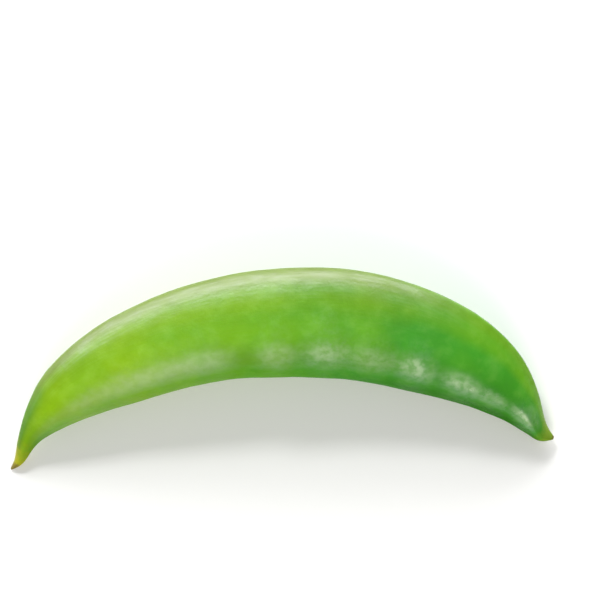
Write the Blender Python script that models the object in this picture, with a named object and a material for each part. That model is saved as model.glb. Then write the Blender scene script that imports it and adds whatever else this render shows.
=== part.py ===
"""A sugar snap pea pod as picked, lying on its side: one grown solid, with its peas showing as swellings.

The pod is laid out flat in its own plane first: u runs from the stalk end to the tip, v rises towards the
outer edge of the curve, and n is its thickness. It is then laid down on the three points that it rests on.
"""

import math

import bmesh
import bpy
import numpy as np
from mathutils import Vector

MM = 0.001

# The pod's form in millimetres, at ribs across it from the stalk end to the tip:
# the outer edge's u and v, the inner edge's u and v, and the thickness there.
RIBS = (
    (-0.2, 0.1, 0.0, -0.1, 0.3),
    (0.4, 1.2, 1.2, 0.6, 1.0),
    (1.0, 3.4, 2.6, 2.4, 1.9),
    (1.9, 6.3, 4.2, 4.3, 3.0),
    (4.0, 11.2, 7.1, 6.0, 5.2),
    (7.8, 16.0, 10.9, 7.6, 6.8),
    (14.9, 21.0, 17.7, 9.5, 8.7),
    (23.5, 24.5, 25.3, 11.4, 10.3),
    (36.0, 26.6, 36.0, 11.9, 11.6),
    (48.8, 25.3, 46.5, 10.7, 10.7),
    (58.9, 21.0, 55.4, 8.1, 9.2),
    (65.3, 15.8, 62.1, 5.6, 7.7),
    (68.5, 10.8, 66.0, 3.4, 6.2),
    (70.2, 5.3, 68.7, 1.2, 4.4),
    (71.0, 2.0, 70.3, 0.0, 2.4),
    (71.9, 0.3, 71.7, -0.1, 0.5),
)

# How the cross-section differs from an ellipse: its widest line lies towards the inner edge, where the peas
# hang, and its two edges are drawn in.
BELLY_SHIFT = 0.12
EDGE_DRAW = 0.38

# Both ends bend a little out of the pod's plane, towards the side that it lies on.
END_DIP = 1.1
END_DIP_POWER = 6

# The peas, which press the wall out on both sides: how far along the pod each one is, and how far it presses.
# They lie on a line at this share of the half depth. Each stands out more on one side than the one before it.
PEAS = (
    (17.0, 0.10),
    (23.0, 0.14),
    (28.4, 0.20),
    (33.2, 0.32),
    (43.6, 0.42),
    (49.7, 0.48),
    (55.9, 0.42),
    (62.0, 0.45),
    (69.0, 0.30),
    (73.6, 0.26),
    (79.2, 0.20),
)
PEA_LINE = -0.28
PEA_LENGTH = 2.9
PEA_DEPTH = 4.0
PEA_ROUNDING = 1.3
SIDE_CHANGE = 0.15

# The two seams: a slight keel along the outer edge and the string's stronger rib along the inner edge.
OUTER_KEEL = 0.07
INNER_RIB = 0.22
SEAM_SPREAD = 0.65
FULL_SEAM_THICKNESS = 4.0

# How deep the pod's own weight flattens its belly, and the stretches of its length that it rests on:
# the stalk end, the belly and the tip.
REST_FLAT = 0.20
REST_STRETCHES = ((0.0, 0.12), (0.3, 0.7), (0.88, 1.0))
REST_ROUNDS = 12
LEVEL_WITHIN = 0.004

# The mesh: its rings stand closer at the ends, and its sides closer at the seams.
RING_COUNT = 100
SIDE_COUNT = 40
END_CROWDING = 0.4
SEAM_CROWDING = 0.35

POD_COLOUR = (0.19, 0.42, 0.035, 1.0)
POD_ROUGHNESS = 0.42


def spline_through(knots, values, at):
    """The natural cubic spline through the rows of values at the knots, read at each place in at."""
    count = len(knots)
    step = np.diff(knots)
    system = np.zeros((count, count))
    target = np.zeros((count, values.shape[1]))
    system[0, 0] = system[-1, -1] = 1.0
    slope = np.diff(values, axis=0) / step[:, None]
    for i in range(1, count - 1):
        system[i, i - 1 : i + 2] = step[i - 1], 2 * (step[i - 1] + step[i]), step[i]
        target[i] = 6 * (slope[i] - slope[i - 1])
    bend = np.linalg.solve(system, target)
    span = np.clip(np.searchsorted(knots, at, side="right") - 1, 0, count - 2)
    width = step[span][:, None]
    after = (at - knots[span])[:, None] / width
    before = 1 - after
    straight = before * values[span] + after * values[span + 1]
    curved = (before**3 - before) * bend[span] + (after**3 - after) * bend[span + 1]
    return straight + curved * width**2 / 6


def base_form(shares, angles):
    """The smooth pod at these shares of its length and angles round it, as rings by sides by (u, v, n).

    Also the place along the pod of each ring, and each point's place across the depth, from 1 at the outer
    edge to -1 at the inner one."""
    ribs = np.array(RIBS)
    middles = (ribs[:, 0:2] + ribs[:, 2:4]) / 2
    steps = np.linalg.norm(np.diff(middles, axis=0), axis=1)
    knots = np.concatenate(([0.0], np.cumsum(steps)))
    along = knots[-1] * shares
    rings = spline_through(knots, ribs, along)
    middle = (rings[:, 0:2] + rings[:, 2:4]) / 2
    half_depth = (rings[:, 0:2] - rings[:, 2:4]) / 2
    across = np.cos(angles) - BELLY_SHIFT * np.sin(angles) ** 2
    thick = np.sin(angles) * (1 - EDGE_DRAW * np.cos(angles) ** 2)
    form = np.empty((len(shares), len(angles), 3))
    form[:, :, 0:2] = middle[:, None] + half_depth[:, None] * across[None, :, None]
    form[:, :, 2] = rings[:, 4:5] / 2 * thick[None, :]
    return form, along, across


def outward(form):
    """The unit normal at each point of the form."""
    lengthwise = np.gradient(form, axis=0)
    round_it = np.roll(form, -1, axis=1) - np.roll(form, 1, axis=1)
    normal = np.cross(round_it, lengthwise)
    return normal / np.linalg.norm(normal, axis=2, keepdims=True)


def pea_swelling(form, along, across, angles):
    """How far the peas press the wall out at each point."""
    half_depth = np.linalg.norm(form[:, 0] - form[:, len(angles) // 2], axis=1) / 2
    from_line = half_depth[:, None] * (across - PEA_LINE)[None, :]
    swelling = np.zeros(form.shape[:2])
    for pea, (place, height) in enumerate(PEAS):
        from_pea = (along - place)[:, None]
        side = 1 + SIDE_CHANGE * (-1) ** pea * np.sin(angles)
        reach = (from_pea / PEA_LENGTH) ** 2 + (from_line / PEA_DEPTH) ** 2
        swelling += height * side[None, :] * np.exp(-(reach**PEA_ROUNDING))
    return swelling


def seam_relief(form, angles):
    """How far the keel of the outer seam and the rib of the inner one stand out at each point."""
    nearness = np.exp(-((form[:, :, 2] / SEAM_SPREAD) ** 2))
    height = np.where(np.cos(angles) > 0, OUTER_KEEL, INNER_RIB)
    thickness = np.ptp(form[:, :, 2], axis=1)
    return nearness * height[None, :] * np.clip(thickness / FULL_SEAM_THICKNESS, 0, 1)[:, None]


def resting(form, shares):
    """The form turned to lie on its lowest points at the stalk end, belly and tip, its belly pressed in."""
    points = form.copy()
    up = Vector((0, 0, 1))
    stretches = [(shares >= start) & (shares <= end) for start, end in REST_STRETCHES]
    for _ in range(REST_ROUNDS):
        feet = []
        for stretch in stretches:
            part = points[stretch].reshape(-1, 3)
            feet.append(Vector(part[part[:, 2].argmin()]))
        stalk_end, belly, tip = feet
        belly.z += REST_FLAT
        floor = (tip - stalk_end).cross(belly - stalk_end)
        turn = np.array(floor.rotation_difference(up).to_matrix())
        points = points @ turn.T
        points[:, :, 2] -= (turn @ np.array(stalk_end))[2]
    low, high = points.min(axis=(0, 1)), points.max(axis=(0, 1))
    points[:, :, 0:2] -= ((low + high) / 2)[0:2]
    return points


def pod_points():
    """Every ring of the pod as it lies, in millimetres."""
    even = np.linspace(0.0, 1.0, RING_COUNT)
    shares = even - END_CROWDING * np.sin(2 * math.pi * even) / (2 * math.pi)
    turn = np.linspace(0.0, 2 * math.pi, SIDE_COUNT, endpoint=False)
    angles = turn - SEAM_CROWDING * np.sin(2 * turn) / 2
    form, along, across = base_form(shares, angles)
    relief = pea_swelling(form, along, across, angles) + seam_relief(form, angles)
    form += outward(form) * relief[:, :, None]
    form[:, :, 2] -= END_DIP * np.abs(2 * shares - 1)[:, None] ** END_DIP_POWER
    return resting(form, shares)


def flatten_underside(mesh):
    """Cuts off what the pod's weight presses below the surface it lies on, and closes the cut with flat faces."""
    geometry = mesh.verts[:] + mesh.edges[:] + mesh.faces[:]
    cut = bmesh.ops.bisect_plane(
        mesh,
        geom=geometry,
        dist=LEVEL_WITHIN * MM,
        plane_co=(0, 0, 0),
        plane_no=(0, 0, -1),
        clear_outer=True,
    )
    rim = [item for item in cut["geom_cut"] if isinstance(item, bmesh.types.BMEdge)]
    closed = bmesh.ops.holes_fill(mesh, edges=[edge for edge in rim if edge.is_boundary], sides=0)
    for face in closed["faces"]:
        face.smooth = False


def closed_mesh(name, rings):
    """A closed mesh through the rings, with a face over each end, flat where it rests."""
    mesh = bmesh.new()
    loops = [[mesh.verts.new(Vector(point) * MM) for point in ring] for ring in rings]
    for loop, following in zip(loops, loops[1:]):
        for i in range(len(loop)):
            j = (i + 1) % len(loop)
            mesh.faces.new((loop[i], following[i], following[j], loop[j]))
    mesh.faces.new(loops[0])
    mesh.faces.new(reversed(loops[-1]))
    for face in mesh.faces:
        face.smooth = True
    flatten_underside(mesh)
    bmesh.ops.recalc_face_normals(mesh, faces=mesh.faces)
    data = bpy.data.meshes.new(name)
    mesh.to_mesh(data)
    mesh.free()
    return data


def pod_skin():
    """The pod's colour: a waxy fresh green."""
    material = bpy.data.materials.new("pod_skin")
    material.use_nodes = True
    surface = material.node_tree.nodes["Principled BSDF"]
    surface.inputs["Base Color"].default_value = POD_COLOUR
    surface.inputs["Roughness"].default_value = POD_ROUGHNESS
    surface.inputs["Metallic"].default_value = 0.0
    return material


def main():
    for old in list(bpy.data.objects):
        bpy.data.objects.remove(old, do_unlink=True)
    pod = bpy.data.objects.new("pod", closed_mesh("pod", pod_points()))
    pod.data.materials.append(pod_skin())
    bpy.context.scene.collection.objects.link(pod)


main()
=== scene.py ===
import math

import bpy
import numpy as np
from mathutils import Matrix, Vector, noise


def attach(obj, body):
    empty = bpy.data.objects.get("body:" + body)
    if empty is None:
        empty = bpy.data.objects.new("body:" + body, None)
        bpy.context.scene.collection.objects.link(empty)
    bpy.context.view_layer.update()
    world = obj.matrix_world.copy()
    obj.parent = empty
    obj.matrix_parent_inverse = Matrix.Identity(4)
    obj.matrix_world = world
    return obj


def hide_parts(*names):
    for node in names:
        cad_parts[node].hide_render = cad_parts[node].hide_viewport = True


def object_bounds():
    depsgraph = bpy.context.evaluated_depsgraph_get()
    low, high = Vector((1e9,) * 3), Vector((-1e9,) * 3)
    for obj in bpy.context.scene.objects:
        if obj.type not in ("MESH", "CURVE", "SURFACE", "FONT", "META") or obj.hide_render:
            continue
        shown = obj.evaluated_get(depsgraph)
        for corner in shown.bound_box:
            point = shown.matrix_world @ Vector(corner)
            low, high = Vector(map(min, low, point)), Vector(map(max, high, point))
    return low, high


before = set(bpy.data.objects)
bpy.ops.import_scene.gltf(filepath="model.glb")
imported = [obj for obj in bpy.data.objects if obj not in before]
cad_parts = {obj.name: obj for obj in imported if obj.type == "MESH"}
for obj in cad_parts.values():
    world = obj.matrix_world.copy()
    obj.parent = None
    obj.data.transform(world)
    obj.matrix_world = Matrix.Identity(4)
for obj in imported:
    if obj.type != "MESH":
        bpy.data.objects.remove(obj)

cad_low, cad_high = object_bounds()

MM = 0.001

# The pod's form in millimetres, at ribs across it from the stalk end to the tip:
# the outer edge's u and v, the inner edge's u and v, and the thickness there.
RIBS = (
    (-0.2, 0.1, 0.0, -0.1, 0.3),
    (0.4, 1.2, 1.2, 0.6, 1.0),
    (1.0, 3.4, 2.6, 2.4, 1.9),
    (1.9, 6.3, 4.2, 4.3, 3.0),
    (4.0, 11.2, 7.1, 6.0, 5.2),
    (7.8, 16.0, 10.9, 7.6, 6.8),
    (14.9, 21.0, 17.7, 9.5, 8.7),
    (23.5, 24.5, 25.3, 11.4, 10.3),
    (36.0, 26.6, 36.0, 11.9, 11.6),
    (48.8, 25.3, 46.5, 10.7, 10.7),
    (58.9, 21.0, 55.4, 8.1, 9.2),
    (65.3, 15.8, 62.1, 5.6, 7.7),
    (68.5, 10.8, 66.0, 3.4, 6.2),
    (70.2, 5.3, 68.7, 1.2, 4.4),
    (71.0, 2.0, 70.3, 0.0, 2.4),
    (71.9, 0.3, 71.7, -0.1, 0.5),
)

# How the cross-section differs from an ellipse: its widest line lies towards the inner edge, and its two
# edges are drawn in. Both ends bend a little out of the pod's plane.
BELLY_SHIFT = 0.12
EDGE_DRAW = 0.38
END_DIP = 1.1
END_DIP_POWER = 6

# The peas, which press the wall out on both sides: how far along the pod each one is, and how far it presses.
# They lie on a line at this share of the half depth. Each stands out more on one side than the one before it.
PEAS = (
    (17.0, 0.10),
    (23.0, 0.14),
    (28.4, 0.20),
    (33.2, 0.32),
    (43.6, 0.42),
    (49.7, 0.48),
    (55.9, 0.42),
    (62.0, 0.45),
    (69.0, 0.30),
    (73.6, 0.26),
    (79.2, 0.20),
)
PEA_LINE = -0.28
PEA_LENGTH = 2.9
PEA_DEPTH = 4.0
PEA_ROUNDING = 1.3
SIDE_CHANGE = 0.15

# Where the skin is stretched over the peas and shines: the place along, the share of the half depth, how far
# the spot reaches lengthwise and depthwise, and how strongly it shines.
SHINE_SPOTS = (
    (11.0, -0.50, 4.5, 3.0, 0.3),
    (17.2, -0.30, 3.5, 3.4, 0.52),
    (23.0, -0.29, 3.6, 3.7, 0.8),
    (28.6, -0.27, 3.5, 4.1, 0.9),
    (34.2, -0.24, 3.4, 4.3, 0.95),
    (43.3, -0.15, 2.5, 4.2, 0.85),
    (49.7, -0.09, 2.8, 4.4, 1.1),
    (56.0, -0.19, 3.6, 3.8, 0.7),
    (62.2, -0.29, 2.3, 3.6, 1.35),
    (68.6, -0.42, 2.6, 2.1, 1.5),
    (73.4, -0.46, 2.3, 1.5, 1.1),
    (79.3, -0.27, 2.2, 1.4, 2.2),
)

# The seams: the outer one's keel has a fine groove along it, and so has the string's rib on the inner one.
OUTER_KEEL = 0.07
INNER_RIB = 0.22
SEAM_SPREAD = 0.65
SEAM_GROOVE = 0.04
GROOVE_SPREAD = 0.13
FULL_SEAM_THICKNESS = 4.0

# The skin's relief: broad unevenness, dimples, and the fine veins that run slantwise from the inner seam.
UNEVEN_SIZE = 5.5
UNEVEN_HEIGHT = 0.10
DIMPLE_SIZE = 1.6
DIMPLE_HEIGHT = 0.022
VEIN_PITCH = 1.6
VEIN_SLANT = 1.15
VEIN_WANDER = 1.9
VEIN_WANDER_SIZE = 3.2
VEIN_SHARPNESS = 4
VEIN_HEIGHT = 0.006
FULL_SKIN_THICKNESS = 6.0

# How deep the pod's own weight flattens its belly, and the stretches of its length that it rests on:
# the stalk end, the belly and the tip.
REST_FLAT = 0.20
REST_STRETCHES = ((0.0, 0.12), (0.3, 0.7), (0.88, 1.0))
REST_ROUNDS = 12

# The mesh: its rings stand closer at the ends, and its sides closer at the seams.
RING_COUNT = 440
SIDE_COUNT = 180
END_CROWDING = 0.45
SEAM_CROWDING = 0.35

# The photograph's view, in its own pixels: its scale, the pod's two ends, and the place of its box's middle.
FRAME_PIXELS = 600
PIXELS_PER_MM = 7.58
STALK_END_PIXEL = (10, 467)
TIP_PIXEL = (555, 434)
BOX_MIDDLE_PIXEL = (276.0, 358.4)
CAMERA_LEAN = math.radians(8.7)
CAMERA_LENS = 150
SENSOR = 36

# The nearest and the furthest that the camera sees, in metres.
CAMERA_CLIP = (0.01, 20)

# The skin's colours.
YELLOW_GREEN = (0.186, 0.352, 0.004, 1)
DEEP_GREEN = (0.044, 0.242, 0.016, 1)
# painted shade: a duller green for the rim, set against the back light that falls strongest there
RIM_PAINTED_SHADE_GREEN = (0.140, 0.225, 0.006, 1)
PALE_GREEN = (0.36, 0.54, 0.13, 1)
OCHRE = (0.38, 0.36, 0.018, 1)
BROWN = (0.17, 0.12, 0.04, 1)
OLIVE = (0.22, 0.30, 0.02, 1)

# The noise in the skin's material: swells to the metre, detail and roughness. The streaks go by the pod's
# length and its side instead, with this many along it and across it. Most values of a noise lie in its span.
PATCHES = (110, 3, 0.5)
MOTTLE = (420, 4, 0.6)
FLECKS = (900, 3, 0.6)
GRAIN = (2600, 2, 0.5)
STREAKS = (1, 2, 0.5)
STREAKS_ALONG = 22
STREAKS_ACROSS = 26
NOISE_SPAN = (0.3, 0.7)
FLECK_SPAN = (0.33, 0.67)
STREAK_SPAN = (0.35, 0.65)

# What changes over the skin is written as fades: what the fade goes by, where it starts and ends, and its
# value before and after. "along" runs from 0 at the stalk end to 1 at the tip, and "outer" from 1 at the
# outer edge to -1 at the inner one. The fades of a row are multiplied, and the rows of a table are added up.

# How green the skin is, from yellow-green at 0 to deep green at 1.
GREENING = ("along", 0.28, 0.75, 0, 0.65)
GREENER = (
    (("outer", 0.70, 0.35, 0, 0.35), ("along", 0.20, 0.40, 0, 1)),
    (("outer", -0.30, -0.70, 0, 1), ("along", 0.55, 0.80, 0.08, 0.35)),
    (("outer", -0.30, -0.70, 0, 1), ("along", 0.30, 0.20, 0, 0.22)),
    (("outer", 0.35, 0.80, 0, 0.45), ("along", 0.17, 0.10, 0, 1)),
    (("outer", 0.40, -0.50, 0.06, 0.18), ("along", 0.18, 0.10, 0, 1)),
)
PATCHINESS = 0.16
FEWER_PATCHES = ("along", 0.60, 0.80, 1, 0.5)

# How much of its colour the skin shows: over 1 is lighter and under 1 is darker. All rows but the stalk end's
# are painted light and shade: on the rim against the back light, along the inner edge, and near the tip.
LIGHTNESS_WITH_PAINTED_LIGHT_AND_SHADE = (
    # painted shade on the rim and painted light towards the inner edge, against how the lights fall
    (("outer", 0.75, -0.15, 0.82, 1.15),),
    # painted shade along the inner edge, deepest towards the tip
    (("outer", -0.45, -0.90, 0, -0.45), ("along", 0.50, 0.80, 0.3, 1)),
    (("along", 0.03, 0.16, -0.19, 0),),
    # painted light on the outer flank near the tip, where the key light falls less, and a little painted
    # shade on its inner side
    (("along", 0.62, 0.90, 0, 0.34), ("outer", -0.15, 0.75, -0.2, 1)),
)
MOTTLING = 0.04

# The paler mottling, the rim's duller green, and the dry ends: a colour, where it starts, where it is full,
# and how much it covers there. The rim's green is painted shade, darker where the back light falls strongest.
# The brown point at the tip has an even edge, and the rest wander a little.
PALE_MOTTLES = (0.45, 0.75, 0, 0.08)
RIM_PAINTED_SHADE_COVER = (("outer", 0.75, 0.95, 0, 1), ("along", 0.55, 0.80, 1, 0.3), ("along", 0.08, 0.18, 0.15, 1))
DRY_ENDS = (
    (OCHRE, 0.065, 0.018, 0.85),
    (BROWN, 0.022, 0.004, 0.90),
    (OLIVE, 0.955, 0.990, 0.70),
)
DRY_EDGE_WANDER = 0.01
BROWN_POINT = ("along", 0.994, 0.999, 0, 0.7)

# The gloss: a streaked sheen on the rim, flecked spots over the peas, and little of either below the peas.
# The flecks stand out less towards the stalk end.
RIM_GLOSS = (
    ("outer", 0.58, 0.82, 0.28, 0.95),
    ("outer", 0.40, -0.30, 1, 0.25),
    ("along", 0.07, 0.20, 0.2, 1),
    ("along", 0.68, 0.84, 1, 0.06),
)
STREAK_GLOSS = (0.8, 1.15)
LEAST_FLECK = ("along", 0.35, 0.60, 0.72, 0.45)
MOST_FLECK = ("along", 0.35, 0.60, 1.08, 1.18)
BELOW_PEAS = (-0.42, -0.65)
GLOSS_BELOW_PEAS = ("along", 0.16, 0.30, 0.5, 0.08)

# The rest of the skin's finish: how rough it is, its fine bumps, and the light that goes into it, with both
# depths in millimetres.
ROUGHNESS = (0.28, 0.38)
SMOOTHER_TIP = ("along", 0.70, 0.90, 0.05, -0.06)
BUMP_STRENGTH = 0.35
BUMP_HEIGHT = 0.06
GLOW = 0.12
GLOW_COLOURS = (0.5, 1.0, 0.2)
GLOW_DEPTH = 1.2

# The floor, with its size and its gap to the pod in millimetres, the front light's tint, and the surrounding.
FLOOR_SIZE = 4000
FLOOR_GAP = 0.05
FLOOR_COLOUR = (0.95, 0.95, 0.945, 1)
FLOOR_ROUGHNESS = 0.7
FLOOR_GLOSS = 0.2
WARM_WHITE = (1.0, 0.98, 0.77)
SURROUNDING_COLOUR = (0.80, 0.81, 1, 1)
SURROUNDING_STRENGTH = 0.35


def spline_through(knots, values, at):
    """The natural cubic spline through the rows of values at the knots, read at each place in at."""
    count = len(knots)
    step = np.diff(knots)
    system = np.zeros((count, count))
    target = np.zeros((count, values.shape[1]))
    system[0, 0] = system[-1, -1] = 1.0
    slope = np.diff(values, axis=0) / step[:, None]
    for i in range(1, count - 1):
        system[i, i - 1 : i + 2] = step[i - 1], 2 * (step[i - 1] + step[i]), step[i]
        target[i] = 6 * (slope[i] - slope[i - 1])
    bend = np.linalg.solve(system, target)
    span = np.clip(np.searchsorted(knots, at, side="right") - 1, 0, count - 2)
    width = step[span][:, None]
    after = (at - knots[span])[:, None] / width
    before = 1 - after
    straight = before * values[span] + after * values[span + 1]
    curved = (before**3 - before) * bend[span] + (after**3 - after) * bend[span + 1]
    return straight + curved * width**2 / 6


def base_form(shares, angles):
    """The smooth pod as rings by sides by (u, v, n), the place along it of each ring, and each side's place
    across it, from 1 at the outer edge to -1 at the inner one."""
    ribs = np.array(RIBS)
    middles = (ribs[:, 0:2] + ribs[:, 2:4]) / 2
    steps = np.linalg.norm(np.diff(middles, axis=0), axis=1)
    knots = np.concatenate(([0.0], np.cumsum(steps)))
    along = knots[-1] * shares
    rings = spline_through(knots, ribs, along)
    middle = (rings[:, 0:2] + rings[:, 2:4]) / 2
    half_depth = (rings[:, 0:2] - rings[:, 2:4]) / 2
    across = np.cos(angles) - BELLY_SHIFT * np.sin(angles) ** 2
    thick = np.sin(angles) * (1 - EDGE_DRAW * np.cos(angles) ** 2)
    form = np.empty((len(shares), len(angles), 3))
    form[:, :, 0:2] = middle[:, None] + half_depth[:, None] * across[None, :, None]
    form[:, :, 2] = rings[:, 4:5] / 2 * thick[None, :]
    return form, along, across


def outward(form):
    """The unit normal at each point of the form."""
    lengthwise = np.gradient(form, axis=0)
    round_it = np.roll(form, -1, axis=1) - np.roll(form, 1, axis=1)
    normal = np.cross(round_it, lengthwise)
    return normal / np.linalg.norm(normal, axis=2, keepdims=True)


def half_depths(form):
    """Half the depth of each ring, from its outer edge to its inner one."""
    return np.linalg.norm(form[:, 0] - form[:, form.shape[1] // 2], axis=1) / 2


def oval_bulge(along, place, length, from_line, depth):
    """From 0 to 1 towards the middle of an oval on the side of the pod."""
    reach = ((along - place) / length)[:, None] ** 2 + (from_line / depth) ** 2
    return np.exp(-(reach**PEA_ROUNDING))


def pea_swelling(form, along, across, angles):
    """How far the peas press the wall out at each point."""
    from_line = half_depths(form)[:, None] * (across - PEA_LINE)[None, :]
    swelling = np.zeros(form.shape[:2])
    for pea, (place, height) in enumerate(PEAS):
        side = 1 + SIDE_CHANGE * (-1) ** pea * np.sin(angles)
        swelling += height * side[None, :] * oval_bulge(along, place, PEA_LENGTH, from_line, PEA_DEPTH)
    return swelling


def skin_shine(form, along, across):
    """How strongly the skin shines at each point."""
    shine = np.zeros(form.shape[:2])
    for place, line, length, depth, strength in SHINE_SPOTS:
        from_line = half_depths(form)[:, None] * (across - line)[None, :]
        shine += strength * oval_bulge(along, place, length, from_line, depth)
    return shine


def ring_thickness(form):
    """How thick the pod is at each ring."""
    return np.ptp(form[:, :, 2], axis=1)[:, None]


def seam_relief(form, angles):
    """The keel of the outer seam and the rib of the inner one, each with its groove."""
    nearness = np.exp(-((form[:, :, 2] / SEAM_SPREAD) ** 2))
    in_groove = np.exp(-((form[:, :, 2] / GROOVE_SPREAD) ** 2))
    height = np.where(np.cos(angles) > 0, OUTER_KEEL, INNER_RIB)
    share = np.clip(ring_thickness(form) / FULL_SEAM_THICKNESS, 0, 1)
    return (nearness * height[None, :] - in_groove * SEAM_GROOVE) * share


def noise_at(points, size):
    """Smooth noise from about -1 to 1, with swells of this size, at each point."""
    flat = points.reshape(-1, 3) / size
    return np.array([noise.noise(Vector(point)) for point in flat]).reshape(points.shape[:2])


def veins(form, along, across, wander):
    """From 0 between the veins to 1 on them."""
    depth = half_depths(form)[:, None] * across[None, :]
    phase = (along[:, None] + VEIN_SLANT * depth + VEIN_WANDER * wander) / VEIN_PITCH
    return (0.5 + 0.5 * np.cos(2 * math.pi * phase)) ** VEIN_SHARPNESS


def skin_relief(form, along, across):
    """The skin's own unevenness, which fades out where the pod is thin."""
    broad = noise_at(form, UNEVEN_SIZE)
    dimples = noise_at(form, DIMPLE_SIZE)
    share = np.clip(ring_thickness(form) / FULL_SKIN_THICKNESS, 0, 1)
    raised = VEIN_HEIGHT * veins(form, along, across, noise_at(form, VEIN_WANDER_SIZE))
    return (UNEVEN_HEIGHT * broad + DIMPLE_HEIGHT * dimples + raised) * share


def resting(form, shares):
    """The form turned to lie on its lowest points at the stalk end, belly and tip, its belly pressed in."""
    points = form.copy()
    up = Vector((0, 0, 1))
    stretches = [(shares >= start) & (shares <= end) for start, end in REST_STRETCHES]
    for _ in range(REST_ROUNDS):
        feet = []
        for stretch in stretches:
            part = points[stretch].reshape(-1, 3)
            feet.append(Vector(part[part[:, 2].argmin()]))
        stalk_end, belly, tip = feet
        belly.z += REST_FLAT
        floor = (tip - stalk_end).cross(belly - stalk_end)
        turn = np.array(floor.rotation_difference(up).to_matrix())
        points = points @ turn.T
        points[:, :, 2] -= (turn @ np.array(stalk_end))[2]
    low, high = points.min(axis=(0, 1)), points.max(axis=(0, 1))
    points[:, :, 0:2] -= ((low + high) / 2)[0:2]
    points[:, :, 2] = np.maximum(points[:, :, 2], 0)
    return points


def pod_surface():
    """Every ring of the pod as it lies, in millimetres, its share along and place across, and its shine."""
    even = np.linspace(0.0, 1.0, RING_COUNT)
    shares = even - END_CROWDING * np.sin(2 * math.pi * even) / (2 * math.pi)
    turn = np.linspace(0.0, 2 * math.pi, SIDE_COUNT, endpoint=False)
    angles = turn - SEAM_CROWDING * np.sin(2 * turn) / 2
    form, along, across = base_form(shares, angles)
    shine = skin_shine(form, along, across)
    relief = pea_swelling(form, along, across, angles) + seam_relief(form, angles)
    relief += skin_relief(form, along, across)
    form += outward(form) * relief[:, :, None]
    form[:, :, 2] -= END_DIP * np.abs(2 * shares - 1)[:, None] ** END_DIP_POWER
    return resting(form, shares), shares, across, shine


def grid_faces(ring_count, side_count):
    """The faces between the rings, and a fan over each end to a point of its own."""
    faces = []
    for ring in range(ring_count - 1):
        start, following = ring * side_count, (ring + 1) * side_count
        for i in range(side_count):
            j = (i + 1) % side_count
            faces.append((start + i, following + i, following + j, start + j))
    first_point = ring_count * side_count
    last_ring = first_point - side_count
    for i in range(side_count):
        j = (i + 1) % side_count
        faces.append((first_point, i, j))
        faces.append((first_point + 1, last_ring + j, last_ring + i))
    return faces


def add_attribute(mesh, name, values):
    """Gives each point of the mesh a value that its material reads."""
    mesh.attributes.new(name, "FLOAT", "POINT").data.foreach_set("value", values.astype(np.float32))


def pod_object():
    """The pod's fine surface as one closed mesh."""
    rings, shares, across, shine = pod_surface()
    ends = np.array([rings[0].mean(axis=0), rings[-1].mean(axis=0)])
    points = np.concatenate([rings.reshape(-1, 3), ends]) * MM
    mesh = bpy.data.meshes.new("pod_fine")
    mesh.from_pydata(points.tolist(), [], grid_faces(RING_COUNT, SIDE_COUNT))
    mesh.shade_smooth()
    along = np.repeat(shares, SIDE_COUNT)
    side = np.tile(across, RING_COUNT)
    add_attribute(mesh, "along", np.append(along, [0.0, 1.0]))
    add_attribute(mesh, "outer", np.append(side, [0.0, 0.0]))
    add_attribute(mesh, "shine", np.append(shine.ravel(), [0.0, 0.0]))
    pod = bpy.data.objects.new("pod_fine", mesh)
    bpy.context.scene.collection.objects.link(pod)
    return pod


class Nodes:
    """Short names for adding and joining a material's nodes."""

    def __init__(self, material):
        self.tree = material.node_tree
        self.attributes = {}

    def add(self, kind, **settings):
        node = self.tree.nodes.new(kind)
        for name, value in settings.items():
            setattr(node, name, value)
        return node

    def feed(self, value, socket):
        """Gives the socket a number, or what comes out of another node."""
        if isinstance(value, bpy.types.NodeSocket):
            self.tree.links.new(value, socket)
        else:
            socket.default_value = value

    def read(self, name):
        """A value that the mesh carries."""
        if name not in self.attributes:
            self.attributes[name] = self.add("ShaderNodeAttribute", attribute_name=name).outputs["Fac"]
        return self.attributes[name]

    def chain(self, operation, values):
        """All the values joined by one operation."""
        result = values[0]
        for value in values[1:]:
            node = self.add("ShaderNodeMath", operation=operation)
            self.feed(result, node.inputs[0])
            self.feed(value, node.inputs[1])
            result = node.outputs[0]
        return result

    def plus(self, *values):
        return self.chain("ADD", values)

    def times(self, *values):
        return self.chain("MULTIPLY", values)

    def spread(self, value, low, high, to_low, to_high, smooth=True):
        """value carried from low..high to to_low..to_high."""
        node = self.add("ShaderNodeMapRange", interpolation_type="SMOOTHSTEP" if smooth else "LINEAR")
        for socket, number in zip(node.inputs, (value, low, high, to_low, to_high)):
            self.feed(number, socket)
        return node.outputs["Result"]

    def fade(self, goes_by, start, end, before, after, smooth=True):
        """One fade, as the tables above write it."""
        return self.spread(self.read(goes_by), start, end, before, after, smooth)

    def row(self, fades):
        """The fades multiplied."""
        return self.times(*[self.fade(*fade) for fade in fades])

    def rows(self, table):
        """The table's rows added up."""
        return self.plus(*[self.row(fades) for fades in table])

    def noise(self, place, scale, detail, roughness):
        node = self.add("ShaderNodeTexNoise")
        self.feed(place, node.inputs["Vector"])
        node.inputs["Scale"].default_value = scale
        node.inputs["Detail"].default_value = detail
        node.inputs["Roughness"].default_value = roughness
        return node.outputs["Fac"]

    def mix(self, share, first, second):
        """The colour first with this share of second. The node keeps its colours in sockets 6 and 7."""
        node = self.add("ShaderNodeMix", data_type="RGBA")
        for index, value in ((0, share), (6, first), (7, second)):
            self.feed(value, node.inputs[index])
        return node.outputs[2]

    def scaled(self, colour, factor):
        node = self.add("ShaderNodeVectorMath", operation="SCALE")
        self.feed(colour, node.inputs[0])
        self.feed(factor, node.inputs["Scale"])
        return node.outputs[0]


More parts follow.
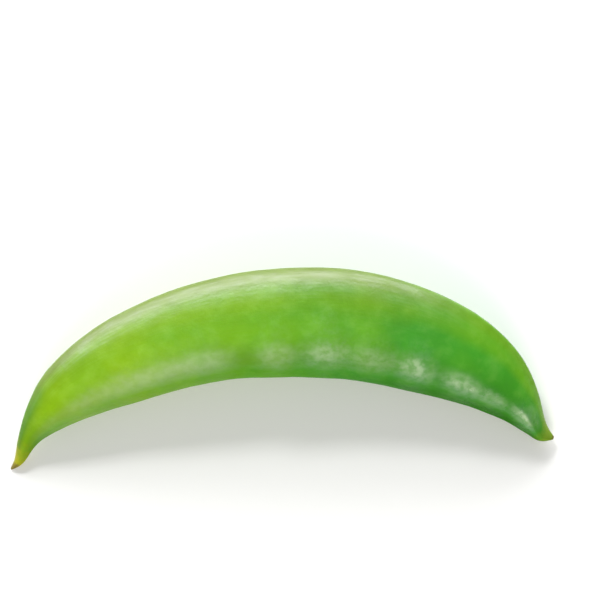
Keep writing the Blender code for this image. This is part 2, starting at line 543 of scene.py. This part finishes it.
def skin_colour(nodes, place, mottle):
    """Yellow-green towards the stalk end, deeper green towards the inner edge and the tip, and dry ends, with
    painted shade on the rim and inner edge and painted light near the tip.
    """
    patches = nodes.spread(nodes.noise(place, *PATCHES), *NOISE_SPAN, -PATCHINESS, PATCHINESS)
    patches = nodes.times(patches, nodes.fade(*FEWER_PATCHES))
    greenness = nodes.plus(nodes.fade(*GREENING, smooth=False), nodes.rows(GREENER), patches)
    colour = nodes.mix(greenness, YELLOW_GREEN, DEEP_GREEN)
    colour = nodes.mix(nodes.spread(mottle, *PALE_MOTTLES), colour, PALE_GREEN)
    # painted shade: the rim is mixed towards a duller green
    colour = nodes.mix(nodes.row(RIM_PAINTED_SHADE_COVER), colour, RIM_PAINTED_SHADE_GREEN)
    mottling = nodes.spread(mottle, *NOISE_SPAN, -MOTTLING, MOTTLING)
    # painted light and shade: the colour is scaled by the lightness table, most of whose rows are painted
    # light and shade
    colour = nodes.scaled(colour, nodes.plus(nodes.rows(LIGHTNESS_WITH_PAINTED_LIGHT_AND_SHADE), mottling))
    wander = nodes.spread(mottle, *NOISE_SPAN, -DRY_EDGE_WANDER, DRY_EDGE_WANDER)
    along = nodes.plus(nodes.read("along"), wander)
    for dry_colour, start, full, cover in DRY_ENDS:
        colour = nodes.mix(nodes.spread(along, start, full, 0, cover), colour, dry_colour)
    return nodes.mix(nodes.fade(*BROWN_POINT), colour, BROWN)


def skin_gloss(nodes, place):
    """The streaked sheen on the rim and the flecked spots over the peas."""
    lengthwise = nodes.add("ShaderNodeCombineXYZ")
    nodes.feed(nodes.times(nodes.read("along"), STREAKS_ALONG), lengthwise.inputs[0])
    nodes.feed(nodes.times(nodes.read("outer"), STREAKS_ACROSS), lengthwise.inputs[1])
    streak = nodes.noise(lengthwise.outputs[0], *STREAKS)
    rim_gloss = nodes.times(nodes.row(RIM_GLOSS), nodes.spread(streak, *STREAK_SPAN, *STREAK_GLOSS))
    least, most = nodes.fade(*LEAST_FLECK), nodes.fade(*MOST_FLECK)
    flecks = nodes.spread(nodes.noise(place, *FLECKS), *FLECK_SPAN, least, most)
    pea_gloss = nodes.times(nodes.read("shine"), flecks)
    gloss = nodes.chain("MAXIMUM", (rim_gloss, pea_gloss))
    left_below = nodes.spread(nodes.read("outer"), *BELOW_PEAS, 1, nodes.fade(*GLOSS_BELOW_PEAS))
    return nodes.times(gloss, left_below)


def pod_skin():
    """Waxy fresh skin, with fine bumps and a little light glowing through."""
    material = bpy.data.materials.new("pod_skin_fine")
    material.use_nodes = True
    nodes = Nodes(material)
    surface = material.node_tree.nodes["Principled BSDF"]
    place = nodes.add("ShaderNodeTexCoord").outputs["Object"]
    mottle = nodes.noise(place, *MOTTLE)
    roughness = nodes.plus(nodes.spread(mottle, *NOISE_SPAN, *ROUGHNESS), nodes.fade(*SMOOTHER_TIP))
    bump = nodes.add("ShaderNodeBump")
    bump.inputs["Strength"].default_value = BUMP_STRENGTH
    bump.inputs["Distance"].default_value = BUMP_HEIGHT * MM
    nodes.feed(nodes.plus(nodes.noise(place, *GRAIN), mottle), bump.inputs["Height"])
    nodes.feed(skin_colour(nodes, place, mottle), surface.inputs["Base Color"])
    nodes.feed(skin_gloss(nodes, place), surface.inputs["Specular IOR Level"])
    nodes.feed(roughness, surface.inputs["Roughness"])
    nodes.feed(bump.outputs["Normal"], surface.inputs["Normal"])
    surface.inputs["Subsurface Weight"].default_value = GLOW
    surface.inputs["Subsurface Radius"].default_value = GLOW_COLOURS
    surface.inputs["Subsurface Scale"].default_value = GLOW_DEPTH * MM
    return material


def pale_floor():
    """The white surface that the pod lies on."""
    half, height = FLOOR_SIZE * MM / 2, -FLOOR_GAP * MM
    corners = [(-half, -half, height), (half, -half, height), (half, half, height), (-half, half, height)]
    mesh = bpy.data.meshes.new("floor")
    mesh.from_pydata(corners, [], [(0, 1, 2, 3)])
    floor = bpy.data.objects.new("floor", mesh)
    bpy.context.scene.collection.objects.link(floor)
    material = bpy.data.materials.new("floor_white")
    material.use_nodes = True
    surface = material.node_tree.nodes["Principled BSDF"]
    surface.inputs["Base Color"].default_value = FLOOR_COLOUR
    surface.inputs["Roughness"].default_value = FLOOR_ROUGHNESS
    surface.inputs["Specular IOR Level"].default_value = FLOOR_GLOSS
    mesh.materials.append(material)


def softbox(name, azimuth, elevation, distance, size, radiance, glossy=True, tint=(1, 1, 1)):
    """An area light that faces the pod, in metres. Azimuth 0 is behind it, at +Y, and 90 at its tip."""
    a, e = math.radians(azimuth), math.radians(elevation)
    towards = Vector((math.sin(a) * math.cos(e), math.cos(a) * math.cos(e), math.sin(e)))
    light = bpy.data.lights.new(name, "AREA")
    light.shape = "RECTANGLE"
    light.size, light.size_y = size
    light.energy = radiance * math.pi * size[0] * size[1]
    light.color = tint
    lamp = bpy.data.objects.new(name, light)
    lamp.location = towards * distance
    lamp.visible_glossy = glossy
    lamp.rotation_euler = towards.to_track_quat("Z", "Y").to_euler()
    bpy.context.scene.collection.objects.link(lamp)


def studio():
    """Plain soft light: two lights behind the pod, a warm one in front of it, and a cool surrounding."""
    key = {"azimuth": -14, "elevation": 38, "distance": 0.7, "size": (0.20, 0.08), "radiance": 43.0}
    back = {"azimuth": -12, "elevation": 20, "distance": 0.7, "size": (1.60, 0.32), "radiance": 7.0}
    front = {"azimuth": 184, "elevation": 36, "distance": 0.6, "size": (0.56, 0.62), "radiance": 2.6}
    softbox("key_light", **key, glossy=False)
    softbox("back_light", **back)
    softbox("front_light", **front, tint=WARM_WHITE)
    world = bpy.data.worlds.new("surrounding")
    world.use_nodes = True
    background = world.node_tree.nodes["Background"]
    background.inputs["Color"].default_value = SURROUNDING_COLOUR
    background.inputs["Strength"].default_value = SURROUNDING_STRENGTH
    bpy.context.scene.world = world
    bpy.context.scene.view_settings.view_transform = "Standard"


def camera():
    """The photograph's view, from nearly overhead and a little on the outer edge's side."""
    backward = Vector((0, math.sin(CAMERA_LEAN), math.cos(CAMERA_LEAN)))
    chord_run = TIP_PIXEL[0] - STALK_END_PIXEL[0]
    chord_rise = STALK_END_PIXEL[1] - TIP_PIXEL[1]
    roll = math.atan2(chord_rise, chord_run)
    level_up = backward.cross(Vector((1, 0, 0)))
    right = Vector((math.cos(roll), 0, 0)) - level_up * math.sin(roll)
    up = backward.cross(right)
    box_middle = Vector(((cad_low.x + cad_high.x) / 2, (cad_low.y + cad_high.y) / 2, 0))
    aside, above = FRAME_PIXELS / 2 - BOX_MIDDLE_PIXEL[0], BOX_MIDDLE_PIXEL[1] - FRAME_PIXELS / 2
    target = box_middle + (right * aside + up * above) * MM / PIXELS_PER_MM
    distance = FRAME_PIXELS / PIXELS_PER_MM * MM * CAMERA_LENS / SENSOR
    data = bpy.data.cameras.new("camera")
    data.lens = CAMERA_LENS
    data.sensor_width = SENSOR
    data.clip_start, data.clip_end = CAMERA_CLIP
    eye = bpy.data.objects.new("camera", data)
    axes = Matrix((right, up, backward)).transposed()
    eye.matrix_world = Matrix.Translation(target + backward * distance) @ axes.to_4x4()
    bpy.context.scene.collection.objects.link(eye)
    bpy.context.scene.camera = eye


def dress_pod():
    """Puts the fine pod in the place of the plain one."""
    pod = pod_object()
    pod.data.materials.append(pod_skin())
    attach(pod, "root")
    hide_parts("pod")


dress_pod()
pale_floor()
studio()
camera()
